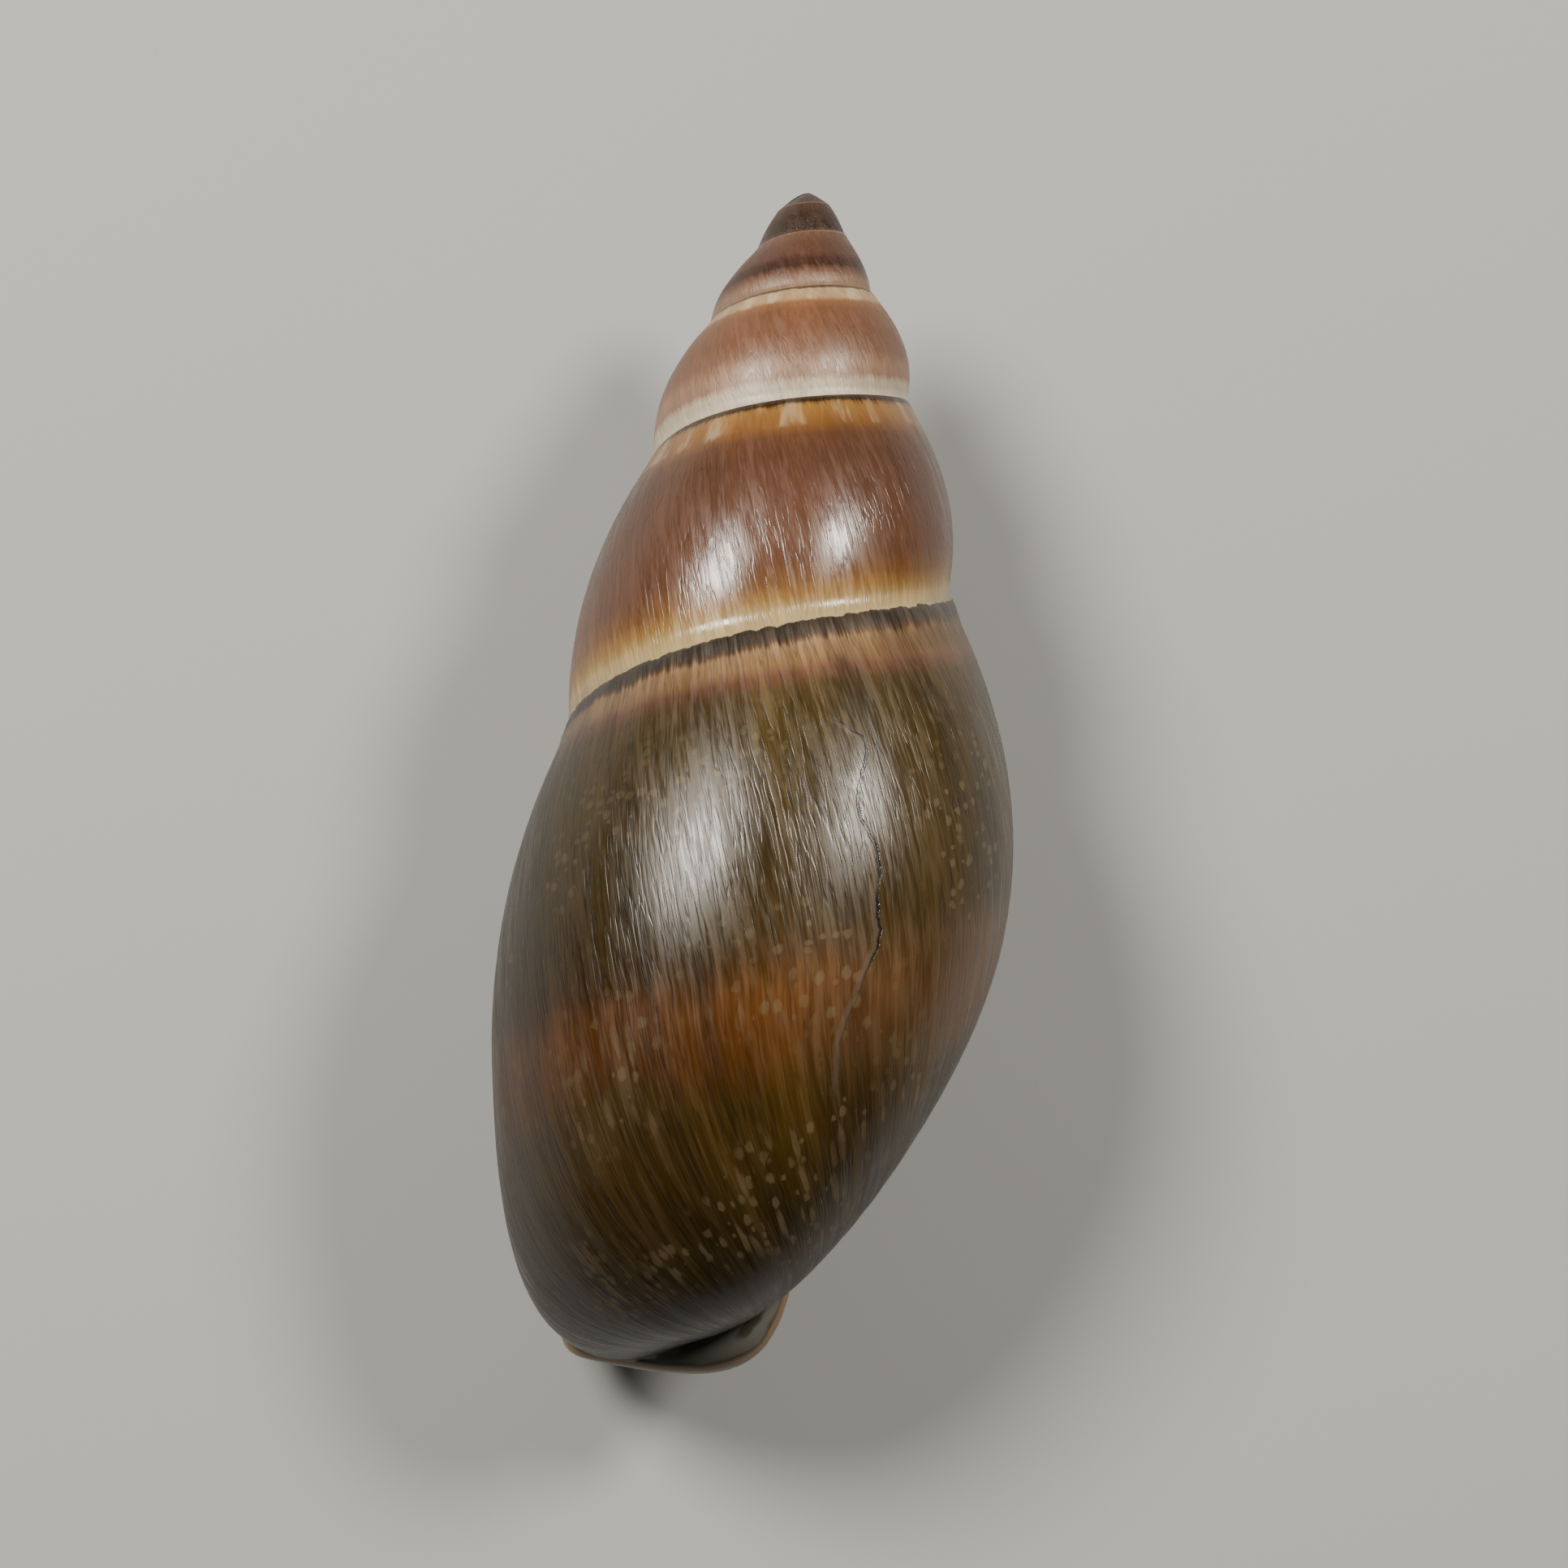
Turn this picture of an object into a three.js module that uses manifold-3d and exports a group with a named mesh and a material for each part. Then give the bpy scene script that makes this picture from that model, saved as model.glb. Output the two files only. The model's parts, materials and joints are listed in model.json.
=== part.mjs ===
// Empty shell of a large land snail: a tall right-hand coil with an open mouth, lying on its mouth side.
// Millimetres, +Z up, tip of the coil towards +Y.
import * as THREE from 'three';
import Module from 'manifold-3d';

const wasm = await Module();
wasm.setup();

// Coil, counted in turns from the tip to the lip
const TURNS = 6.4;
const STEPS_PER_TURN = 40;
// After each half turn: radius of the seam with the next whorl, and how far that seam and the whorl's end on
// the axis lie below the tip
const GROWTH = [
  new THREE.Vector3(0, 0, 0),
  new THREE.Vector3(0.9, 0.39, 1.05),
  new THREE.Vector3(1.6, 1.07, 2.2),
  new THREE.Vector3(2.18, 2.0, 3.5),
  new THREE.Vector3(2.7, 3.22, 5.2),
  new THREE.Vector3(3.46, 5.15, 7.5),
  new THREE.Vector3(4.93, 7.4, 10.7),
  new THREE.Vector3(6.15, 11, 14.7),
  new THREE.Vector3(7.65, 15.1, 20.7),
  new THREE.Vector3(9.16, 20.75, 30.2),
  new THREE.Vector3(11.12, 29.53, 40),
  new THREE.Vector3(13.64, 40.3, 53.35),
  new THREE.Vector3(15.59, 51.15, 68.95),
  new THREE.Vector3(15.52, 60.2, 71.95),
  new THREE.Vector3(14.43, 68.2, 80),
];
// Whorl outline: one arc from the suture down to the seam with the next whorl, one from there in to the axis
const SUTURE_STEEPNESS = 0.269;
const SEAM_STRAIGHTNESS = 0.389;
// Young whorls leave the suture steeply and still widen at the seam, grown ones flare out and bulge above it
const YOUNG_FLARE = 0.39;
const GROWN_FLARE = 0.724;
const FLARE_GROWS = [3, 4];
const YOUNG_BULGE = -0.335;
const GROWN_BULGE = 0.271;
const BULGE_GROWS = [1.5, 4.5];
const BASE_STRAIGHTNESS = 0.478;
const BASE_FULLNESS = 0.448;
// Towards the lip the base grows straighter and fuller and sags below its end on the axis
const LIP_STRAIGHTNESS = 0.167;
const LIP_FULLNESS = 0.411;
const LIP_SAG = 7.3;
const LIP_RIPENS = 0.75;
// Growth lines trail behind the upright plane: by so many turns at the next suture and at the axis
const SUTURE_LAG_STEPS = 1;
const AXIS_LAG = 0.166;
// Hollow: the step it starts at, its wall as a share of the half-width of the whorl, and its two corners
const HOLLOW_FROM_STEP = 128;
const WALL = 0.065;
const HOLLOW_TOP = 0.25;
const HOLLOW_FOOT = 1.92;
// Rows of the mesh across a whorl: above the seam, below the seam, and inside the wall
const UPPER_ROWS = 5;
const LOWER_ROWS = 9;
const HOLLOW_ROWS = 10;
const HOLLOW_TOP_ROW = 2;
const HOLLOW_FOOT_ROW = 8;
// Rounded lip: from the corner under the suture it follows the mouth, then turns up the pillar past the axis
const LIP_FOLLOWS = [0.12, 0.42, 0.78, 1.05, 1.3, 1.53, 1.7];
const PILLAR_LIP = [
  new THREE.Vector2(-0.3, 71.7),
  new THREE.Vector2(-1.75, 62.5),
  new THREE.Vector2(-1.4, 57),
  new THREE.Vector2(0, 51),
];
const LIP_THIN = 0.6;
const LIP_THICK = 1.9;
const LIP_THICKENS = [0.45, 0.8];
const LIP_STATIONS = 48;
const LIP_SIDES = 10;
// Lying on the mouth side: the direction in the coil that then points up, and the depth rubbed flat below
const REST_UP = new THREE.Vector3(0.116, 0.058, 0.992).normalize();
const RUBBED = 0.2;
// Look
const SHELL_COLOUR = 0x5f5038;
const SHELL_ROUGHNESS = 0.4;

const SUTURE_LAG = SUTURE_LAG_STEPS / STEPS_PER_TURN;
const TANGENT_STEP = 1e-3;

const growth = new THREE.CatmullRomCurve3(GROWTH, false, 'catmullrom');

function sizeAt(turn) {
  return growth.getPoint(2 * turn / (GROWTH.length - 1));
}

function sutureAt(turn) {
  const seam = sizeAt(Math.max(turn - 1 + SUTURE_LAG, 0));
  return new THREE.Vector2(seam.x, seam.y);
}

function bulgeAt(turn) {
  const grown = THREE.MathUtils.smoothstep(turn, ...BULGE_GROWS);
  return THREE.MathUtils.lerp(YOUNG_BULGE, GROWN_BULGE, grown) * (sizeAt(turn).x - sutureAt(turn).x);
}

function flareAt(turn) {
  const grown = THREE.MathUtils.smoothstep(turn, ...FLARE_GROWS);
  return THREE.MathUtils.lerp(YOUNG_FLARE, GROWN_FLARE, grown) * (sizeAt(turn).x - sutureAt(turn).x);
}

function upperArc(turn) {
  const suture = sutureAt(turn);
  const size = sizeAt(turn);
  const down = size.y - suture.y;
  return new THREE.CubicBezierCurve(
    suture,
    new THREE.Vector2(suture.x + flareAt(turn), suture.y + SUTURE_STEEPNESS * down),
    new THREE.Vector2(size.x + bulgeAt(turn), size.y - SEAM_STRAIGHTNESS * down),
    new THREE.Vector2(size.x, size.y),
  );
}

// Carries on from the seam in the direction of the upper arc
function lowerArc(turn) {
  const size = sizeAt(turn);
  const ripeness = THREE.MathUtils.smoothstep(turn, TURNS - LIP_RIPENS, TURNS);
  const fullness = BASE_FULLNESS + LIP_FULLNESS * ripeness;
  const sag = LIP_SAG * ripeness * ripeness;
  const straight = (BASE_STRAIGHTNESS + LIP_STRAIGHTNESS * ripeness) * (size.z - size.y);
  const slope = bulgeAt(turn) / (SEAM_STRAIGHTNESS * (size.y - sutureAt(turn).y));
  return new THREE.CubicBezierCurve(
    new THREE.Vector2(size.x, size.y),
    new THREE.Vector2(size.x - slope * straight, size.y + straight),
    new THREE.Vector2(fullness * size.x, size.z + sag),
    new THREE.Vector2(0, size.z),
  );
}

// Point of the outline: across is 0 at the suture, 1 at the seam with the next whorl and 2 at the axis
function outline(turn, across, inset = 0) {
  const arc = across < 1 ? upperArc(turn) : lowerArc(turn);
  const along = across < 1 ? across : across - 1;
  const point = arc.getPoint(along);
  if (inset === 0) {
    return point;
  }
  const before = arc.getPoint(Math.max(along - TANGENT_STEP, 0));
  const after = arc.getPoint(Math.min(along + TANGENT_STEP, 1));
  const tangent = after.sub(before).normalize();
  return new THREE.Vector2(point.x - inset * tangent.y, point.y + inset * tangent.x);
}

function lagAt(across) {
  if (across < 1) {
    return SUTURE_LAG * across;
  }
  const past = across - 1;
  return SUTURE_LAG + (AXIS_LAG - SUTURE_LAG) * past * past;
}

// The coil's axis lies along Y with the tip at the origin; a whole number of turns faces +Z
function place(point, turn) {
  const angle = 2 * Math.PI * turn;
  return new THREE.Vector3(-point.x * Math.sin(angle), -point.y, point.x * Math.cos(angle));
}

const lastColumn = Math.round(TURNS * STEPS_PER_TURN);
const seamShift = STEPS_PER_TURN - SUTURE_LAG_STEPS;
const mouthColumn = lastColumn - seamShift;
const seamRow = UPPER_ROWS;
const axisRow = seamRow + LOWER_ROWS;
const topRow = seamRow + HOLLOW_TOP_ROW;
const footRow = seamRow + HOLLOW_FOOT_ROW;

const points = [new THREE.Vector3(0, 0, 0)];
const faces = [];
const known = new Map();

function remember(key, makePoint) {
  if (!known.has(key)) {
    known.set(key, points.length);
    points.push(makePoint());
  }
  return known.get(key);
}

// Vertex on the outside of the coil; a whorl's first row is the seam row of the whorl before
function outside(column, row) {
  if (column === 0 || (row === 0 && column <= seamShift)) {
    return 0;
  }
  if (row === 0) {
    return outside(column - seamShift, seamRow);
  }
  const turn = column / STEPS_PER_TURN;
  const across = row < seamRow ? row / UPPER_ROWS : 1 + (row - seamRow) / LOWER_ROWS;
  return remember(`outside ${column} ${row}`, () => place(outline(turn, across), turn - lagAt(across)));
}

// Vertex on the inside of the wall; the rows beyond its ends are on the whorl before
function inside(column, row) {
  if (row < 0) {
    return outside(column - seamShift, topRow);
  }
  if (row > HOLLOW_ROWS) {
    return outside(column - seamShift, footRow);
  }
  const turn = column / STEPS_PER_TURN;
  const across = THREE.MathUtils.lerp(HOLLOW_TOP, HOLLOW_FOOT, row / HOLLOW_ROWS);
  const thickness = WALL * sizeAt(turn).x;
  return remember(
    `inside ${column} ${row}`,
    () => place(outline(turn, across, thickness), turn - lagAt(across)),
  );
}

function triangle(a, b, c) {
  if (a !== b && b !== c && c !== a) {
    faces.push(a, b, c);
  }
}

function patch(vertex, columns, rows) {
  for (let column = columns[0]; column < columns[1]; column++) {
    for (let row = rows[0]; row < rows[1]; row++) {
      const ahead = vertex(column + 1, row);
      const below = vertex(column, row + 1);
      triangle(vertex(column, row), ahead, below);
      triangle(ahead, vertex(column + 1, row + 1), below);
    }
  }
}

// Strip between two chains of vertices that share both ends, always closed by the shorter diagonal
function strip(left, right) {
  let a = 0;
  let b = 0;
  while (a < left.length - 1 || b < right.length - 1) {
    const leftSpan = a < left.length - 1 ? points[left[a + 1]].distanceTo(points[right[b]]) : Infinity;
    const rightSpan = b < right.length - 1 ? points[right[b + 1]].distanceTo(points[left[a]]) : Infinity;
    if (leftSpan < rightSpan) {
      triangle(left[a], right[b], left[a + 1]);
      a += 1;
    } else {
      triangle(left[a], right[b], right[b + 1]);
      b += 1;
    }
  }
}

function range(from, to) {
  const step = Math.sign(to - from);
  return Array.from({ length: Math.abs(to - from) + 1 }, (_, index) => from + step * index);
}

// Outside: the whorls down to their sutures, and the base of the last one
patch(outside, [0, lastColumn], [0, seamRow]);
patch(outside, [mouthColumn, lastColumn], [seamRow, axisRow]);
// Inside: the whorl before, seen from the hollow, and the inner face of the wall
patch(outside, [HOLLOW_FROM_STEP - seamShift, mouthColumn], [topRow, footRow]);
const insideUpwards = (column, row) => inside(column, HOLLOW_ROWS - row);
patch(insideUpwards, [HOLLOW_FROM_STEP, lastColumn], [-1, HOLLOW_ROWS + 1]);
// Lip: from the edge of the outside round to the edge of the inside
const lipOutside = [
  ...range(topRow, seamRow).map((row) => outside(mouthColumn, row)),
  ...range(1, axisRow).map((row) => outside(lastColumn, row)),
  ...range(lastColumn - 1, mouthColumn).map((column) => outside(column, axisRow)),
  outside(mouthColumn, footRow),
];
const lipInside = range(-1, HOLLOW_ROWS + 1).map((row) => inside(lastColumn, row));
strip(lipOutside, lipInside);
// Inner end of the hollow
const endOuter = range(-1, HOLLOW_ROWS + 1).map((row) => inside(HOLLOW_FROM_STEP, row));
const endInner = range(topRow, footRow).map((row) => outside(HOLLOW_FROM_STEP - seamShift, row));
strip(endOuter, endInner);

function solid(vertices, triangles) {
  const mesh = new wasm.Mesh({
    numProp: 3,
    vertProperties: new Float32Array(vertices.flatMap((vertex) => vertex.toArray())),
    triVerts: new Uint32Array(triangles),
  });
  return new wasm.Manifold(mesh);
}

// Roll along the lip, thin under the suture and thick at the pillar, with a fan on each end
function lipRoll() {
  const wall = WALL * sizeAt(TURNS).x;
  const mouth = LIP_FOLLOWS.map((across) => place(outline(TURNS, across, wall / 2), TURNS - lagAt(across)));
  const pillar = PILLAR_LIP.map((point) => place(point, TURNS - AXIS_LAG));
  const path = new THREE.CatmullRomCurve3([...mouth, ...pillar], false, 'centripetal');
  const frames = path.computeFrenetFrames(LIP_STATIONS, false);
  const vertices = [];
  const triangles = [];
  for (let station = 0; station <= LIP_STATIONS; station++) {
    const share = station / LIP_STATIONS;
    const centre = path.getPointAt(share);
    const thickening = THREE.MathUtils.smoothstep(share, ...LIP_THICKENS);
    const radius = THREE.MathUtils.lerp(LIP_THIN, LIP_THICK, thickening);
    for (let side = 0; side < LIP_SIDES; side++) {
      const angle = 2 * Math.PI * side / LIP_SIDES;
      const spoke = frames.normals[station].clone().multiplyScalar(radius * Math.cos(angle));
      spoke.addScaledVector(frames.binormals[station], radius * Math.sin(angle));
      vertices.push(centre.clone().add(spoke));
    }
  }
  for (let station = 0; station < LIP_STATIONS; station++) {
    for (let side = 0; side < LIP_SIDES; side++) {
      const a = station * LIP_SIDES + side;
      const b = station * LIP_SIDES + (side + 1) % LIP_SIDES;
      triangles.push(a, b, b + LIP_SIDES, a, b + LIP_SIDES, a + LIP_SIDES);
    }
  }
  const lastRing = LIP_STATIONS * LIP_SIDES;
  for (let side = 1; side < LIP_SIDES - 1; side++) {
    triangles.push(0, side + 1, side, lastRing, lastRing + side, lastRing + side + 1);
  }
  return solid(vertices, triangles);
}

// Turned to lie on the mouth side with the tip towards +Y, and rubbed flat where it touches down
function laidDown(shell) {
  const ahead = new THREE.Vector3(0, 1, 0).projectOnPlane(REST_UP).normalize();
  const aside = new THREE.Vector3().crossVectors(ahead, REST_UP);
  const turned = new THREE.Matrix4().makeBasis(aside, ahead, REST_UP).transpose();
  const lying = shell.transform(turned.toArray());
  const lowest = lying.boundingBox().min[2];
  const rubbed = lying.trimByPlane([0, 0, 1], lowest + RUBBED);
  const { min, max } = rubbed.boundingBox();
  return rubbed.translate([-(min[0] + max[0]) / 2, -(min[1] + max[1]) / 2, -min[2]]);
}

const shell = laidDown(solid(points, faces).add(lipRoll())).getMesh();

const geometry = new THREE.BufferGeometry();
geometry.setAttribute('position', new THREE.BufferAttribute(new Float32Array(shell.vertProperties), 3));
geometry.setIndex(new THREE.BufferAttribute(new Uint32Array(shell.triVerts), 1));
geometry.computeVertexNormals();

const material = new THREE.MeshStandardMaterial({
  color: SHELL_COLOUR,
  roughness: SHELL_ROUGHNESS,
  metalness: 0,
});
const mesh = new THREE.Mesh(geometry, material);
mesh.name = 'shell';

const part = new THREE.Group();
part.add(mesh);
export default part;
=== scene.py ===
# %% [markdown]
# # The empty shell of a land snail
# A snail grows its shell as one piece, from a tip the size of a grain of sand to the wide mouth it lives
# in. Each day it adds a narrow strip of lime to the edge of the mouth, a little further round and a
# little lower down. So the shell is one closed skin that follows one rule, and that rule is what this
# lesson builds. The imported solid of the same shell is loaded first. It is the frame: it gives the size
# and the place on the table, and the finished skin takes its place in the picture.

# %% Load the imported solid
import json
import math

import bpy
from mathutils import Matrix, Vector

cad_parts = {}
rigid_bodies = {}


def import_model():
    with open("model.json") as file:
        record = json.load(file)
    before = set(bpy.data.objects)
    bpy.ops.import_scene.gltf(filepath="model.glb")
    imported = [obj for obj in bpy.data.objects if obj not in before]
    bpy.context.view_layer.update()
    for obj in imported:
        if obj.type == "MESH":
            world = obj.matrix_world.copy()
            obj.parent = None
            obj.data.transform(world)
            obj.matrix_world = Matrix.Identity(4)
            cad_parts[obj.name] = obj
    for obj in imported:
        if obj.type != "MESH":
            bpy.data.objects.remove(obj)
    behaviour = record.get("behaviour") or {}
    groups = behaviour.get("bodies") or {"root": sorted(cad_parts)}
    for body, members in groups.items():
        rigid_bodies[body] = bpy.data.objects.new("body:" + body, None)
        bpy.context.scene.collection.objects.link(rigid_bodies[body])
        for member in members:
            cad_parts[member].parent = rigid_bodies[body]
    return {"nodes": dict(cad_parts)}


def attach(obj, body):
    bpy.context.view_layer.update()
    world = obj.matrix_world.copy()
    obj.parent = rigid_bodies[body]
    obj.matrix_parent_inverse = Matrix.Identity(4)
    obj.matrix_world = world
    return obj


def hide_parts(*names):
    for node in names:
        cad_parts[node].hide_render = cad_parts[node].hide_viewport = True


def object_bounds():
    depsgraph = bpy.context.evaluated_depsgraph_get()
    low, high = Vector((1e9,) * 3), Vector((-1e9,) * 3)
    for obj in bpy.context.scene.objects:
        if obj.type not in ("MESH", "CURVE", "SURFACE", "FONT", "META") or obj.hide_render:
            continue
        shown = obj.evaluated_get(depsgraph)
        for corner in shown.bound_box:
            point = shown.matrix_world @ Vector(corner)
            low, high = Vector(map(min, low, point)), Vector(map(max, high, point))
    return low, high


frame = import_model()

cad_low, cad_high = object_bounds()
print("packed nodes:", sorted(frame["nodes"]))
print("packed box in mm:", [round(1000 * x, 2) for x in (*cad_low, *cad_high)])

# %% [markdown]
# ## Writing node trees as arithmetic
# The shape and the colours both come from node trees with a lot of sums in them. Adding and linking every
# Math node by hand would bury the rule, so a small class wraps an output socket: adding, multiplying or
# comparing two of these adds the node and its links. The same class serves geometry and shader trees,
# because both know the Math, Vector Math, Map Range and Noise nodes.

# %% A field, and the nodes that work on it
class Field:
    """An output socket. Arithmetic with it adds Math nodes to its tree."""

    def __init__(self, socket):
        self.socket = socket
        self.tree = socket.id_data

    def __add__(self, other):
        return maths("ADD", self, other)

    def __sub__(self, other):
        return maths("SUBTRACT", self, other)

    def __rsub__(self, other):
        return maths("SUBTRACT", other, self)

    def __mul__(self, other):
        return maths("MULTIPLY", self, other)

    def __truediv__(self, other):
        return maths("DIVIDE", self, other)

    __radd__ = __add__
    __rmul__ = __mul__


def plug(value, socket):
    """Links a field to a socket, or sets a plain value on it."""
    if isinstance(value, Field):
        value.tree.links.new(value.socket, socket)
    else:
        socket.default_value = value


def tree_of(*values):
    return next(value.tree for value in values if isinstance(value, Field))


def maths(operation, *values):
    node = tree_of(*values).nodes.new("ShaderNodeMath")
    node.operation = operation
    for value, socket in zip(values, node.inputs):
        plug(value, socket)
    return Field(node.outputs[0])


def vector_maths(operation, *values):
    node = tree_of(*values).nodes.new("ShaderNodeVectorMath")
    node.operation = operation
    sockets = [node.inputs[0], node.inputs["Scale"]] if operation == "SCALE" else node.inputs
    for value, socket in zip(values, sockets):
        plug(value, socket)
    return Field(node.outputs["Value"] if operation == "DOT_PRODUCT" else node.outputs[0])


def smooth(value, low, high):
    """0 below low, 1 above high, with a soft step between."""
    node = value.tree.nodes.new("ShaderNodeMapRange")
    node.interpolation_type = "SMOOTHSTEP"
    plug(value, node.inputs["Value"])
    plug(low, node.inputs["From Min"])
    plug(high, node.inputs["From Max"])
    return Field(node.outputs["Result"])


def share(value, low, high):
    """0 below low, 1 above high, straight between."""
    node = value.tree.nodes.new("ShaderNodeMapRange")
    plug(value, node.inputs["Value"])
    plug(low, node.inputs["From Min"])
    plug(high, node.inputs["From Max"])
    return Field(node.outputs["Result"])


def vector(x, y, z):
    node = tree_of(x, y, z).nodes.new("ShaderNodeCombineXYZ")
    for value, socket in zip((x, y, z), node.inputs):
        plug(value, socket)
    return Field(node.outputs[0])


def parts(value):
    node = value.tree.nodes.new("ShaderNodeSeparateXYZ")
    plug(value, node.inputs[0])
    return [Field(socket) for socket in node.outputs]


def noise(place, scale, detail=2.0, roughness=0.5, seed=0.0):
    """Soft noise from 0 to 1; the seed picks the slice of a four-dimensional noise."""
    node = place.tree.nodes.new("ShaderNodeTexNoise")
    node.noise_dimensions = "4D"
    plug(place, node.inputs["Vector"])
    plug(seed, node.inputs["W"])
    plug(scale, node.inputs["Scale"])
    plug(detail, node.inputs["Detail"])
    plug(roughness, node.inputs["Roughness"])
    return Field(node.outputs[0])


def start_group(kind, name, inputs, outputs):
    """A new node group with named sockets: its inputs as fields, and its output node."""
    tree = bpy.data.node_groups.new(name, kind)
    for label, socket_type in inputs:
        tree.interface.new_socket(label, in_out="INPUT", socket_type=socket_type)
    for label, socket_type in outputs:
        tree.interface.new_socket(label, in_out="OUTPUT", socket_type=socket_type)
    given = tree.nodes.new("NodeGroupInput")
    result = tree.nodes.new("NodeGroupOutput")
    return tree, [Field(given.outputs[label]) for label, _ in inputs], result


def use_group(group, **values):
    """Places a group in the tree of the values given to it, and hands back its outputs."""
    tree = tree_of(*values.values())
    kind = "GeometryNodeGroup" if group.bl_idname == "GeometryNodeTree" else "ShaderNodeGroup"
    node = tree.nodes.new(kind)
    node.node_tree = group
    for label, value in values.items():
        plug(value, node.inputs[label.replace("_", " ")])
    return [Field(socket) for socket in node.outputs]


GEOMETRY, NUMBER, VECTOR = "NodeSocketGeometry", "NodeSocketFloat", "NodeSocketVector"
print("node helpers ready")

# %% [markdown]
# ## Growth stations
# After each half turn the snail is a little larger. Three lengths say how large: the radius of the seam
# that the next whorl will grow on, how far that seam lies below the tip, and how far the whorl's end on
# the axis does. They are kept as the points of a small polyline, in millimetres, so that the node tree
# can read them; one point is added beyond each end, because a smooth curve through the points needs to
# know where it comes from and where it goes. A second polyline holds the course of the lip. Its first
# points are places across the mouth, and its last ones are places on the pillar that the coil winds
# round.

# %% Growth and lip stations
TURNS = 6.4
STATIONS_PER_TURN = 2
GROWTH = [
    (0, 0, 0), (0.9, 0.39, 1.05), (1.6, 1.07, 2.2), (2.18, 2.0, 3.5), (2.7, 3.22, 5.2),
    (3.46, 5.15, 7.5), (4.93, 7.4, 10.7), (6.15, 11, 14.7), (7.65, 15.1, 20.7), (9.16, 20.75, 30.2),
    (11.12, 29.53, 40), (13.64, 40.3, 53.35), (15.59, 51.15, 68.95), (15.52, 60.2, 71.95), (14.43, 68.2, 80),
]
LIP_FOLLOWS = [0.12, 0.42, 0.78, 1.05, 1.3, 1.53, 1.7]
PILLAR_LIP = [(-0.3, 71.7), (-1.75, 62.5), (-1.4, 57), (0, 51)]


def beyond(end, before):
    return tuple(2 * a - b for a, b in zip(end, before))


stations = [beyond(GROWTH[0], GROWTH[1]), *GROWTH, beyond(GROWTH[-1], GROWTH[-2])]
lip_stations = [(across, 0, 0) for across in LIP_FOLLOWS] + [(r, h, 1) for r, h in PILLAR_LIP]
FIRST_LIP_STATION = len(stations)
points = stations + lip_stations
links = [(i, i + 1) for i in range(len(points) - 1) if i + 1 != FIRST_LIP_STATION]

seed_mesh = bpy.data.meshes.new("shell_stations")
seed_mesh.from_pydata(points, links, [])
shell = bpy.data.objects.new("snail_shell", seed_mesh)
bpy.context.scene.collection.objects.link(shell)
print(len(stations), "growth stations and", len(lip_stations), "lip stations")

# %% [markdown]
# ## The size of a whorl
# Between two stations the lengths follow a Catmull-Rom curve, which passes through every station without
# a kink. Its four weights are plain polynomials, so the node group reads the four stations around a turn
# and adds them up. Below a fifth of a turn the size is zero: that closes the tip in one point.

# %% Whorl size group
TIP_TURN = 0.198


def sample_station(growth, index):
    tree = growth.tree
    node = tree.nodes.new("GeometryNodeSampleIndex")
    node.data_type = "FLOAT_VECTOR"
    node.clamp = True
    plug(growth, node.inputs["Geometry"])
    plug(Field(tree.nodes.new("GeometryNodeInputPosition").outputs[0]), node.inputs["Value"])
    plug(index, node.inputs["Index"])
    return Field(node.outputs[0])


whorl_size, (growth, turn), result = start_group(
    "GeometryNodeTree", "Whorl size", [("Growth", GEOMETRY), ("Turn", NUMBER)], [("Size", VECTOR)]
)
station = maths("MAXIMUM", turn * STATIONS_PER_TURN, 0.0)
first = maths("MINIMUM", maths("FLOOR", station), len(GROWTH) - 2.0)
t = station - first
t2 = t * t
t3 = t2 * t
weights = [t2 - 0.5 * t - 0.5 * t3, 1 - 2.5 * t2 + 1.5 * t3, 0.5 * t + 2 * t2 - 1.5 * t3, 0.5 * t3 - 0.5 * t2]
total = None
for offset, weight in enumerate(weights):
    term = vector_maths("SCALE", sample_station(growth, first + float(offset)), weight)
    total = term if total is None else vector_maths("ADD", total, term)
grown = maths("GREATER_THAN", turn, TIP_TURN)
plug(vector_maths("SCALE", total, grown), result.inputs["Size"])
print("whorl size group:", len(whorl_size.nodes), "nodes")

# %% [markdown]
# ## The outline of a whorl
# Cut through a whorl and its outline is two arcs: one from the suture, the seam with the whorl above,
# down to the seam with the next whorl, and one from there in to the axis. A place on it is called
# `across`: 0 at the suture, 1 at the next seam, 2 at the axis. Each arc is a cubic Bezier curve, and the
# lower one sets off in the direction the upper one ends in. Young whorls still widen at the seam; grown
# ones bulge above it.

# %% Outline groups
SUTURE_LAG = 0.025
AXIS_LAG = 0.166
SUTURE_STEEPNESS, SEAM_STRAIGHTNESS = 0.269, 0.389
YOUNG_FLARE, GROWN_FLARE, FLARE_GROWS = 0.39, 0.724, (3.0, 4.0)
YOUNG_BULGE, GROWN_BULGE, BULGE_GROWS = -0.335, 0.271, (1.5, 4.5)
BASE_STRAIGHTNESS, BASE_FULLNESS = 0.478, 0.448
LIP_STRAIGHTNESS, LIP_FULLNESS, LIP_SAG, LIP_RIPENS = 0.167, 0.411, 7.3, 0.75
ARC_INPUTS = [("Growth", GEOMETRY), ("Turn", NUMBER), ("Along", NUMBER)]
ARC_OUTPUTS = [("Radius", NUMBER), ("Drop", NUMBER)]


def bezier(along, a, b, c, d):
    back = 1 - along
    return (
        back * back * back * a
        + 3 * back * back * along * b
        + 3 * back * along * along * c
        + along * along * along * d
    )


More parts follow.
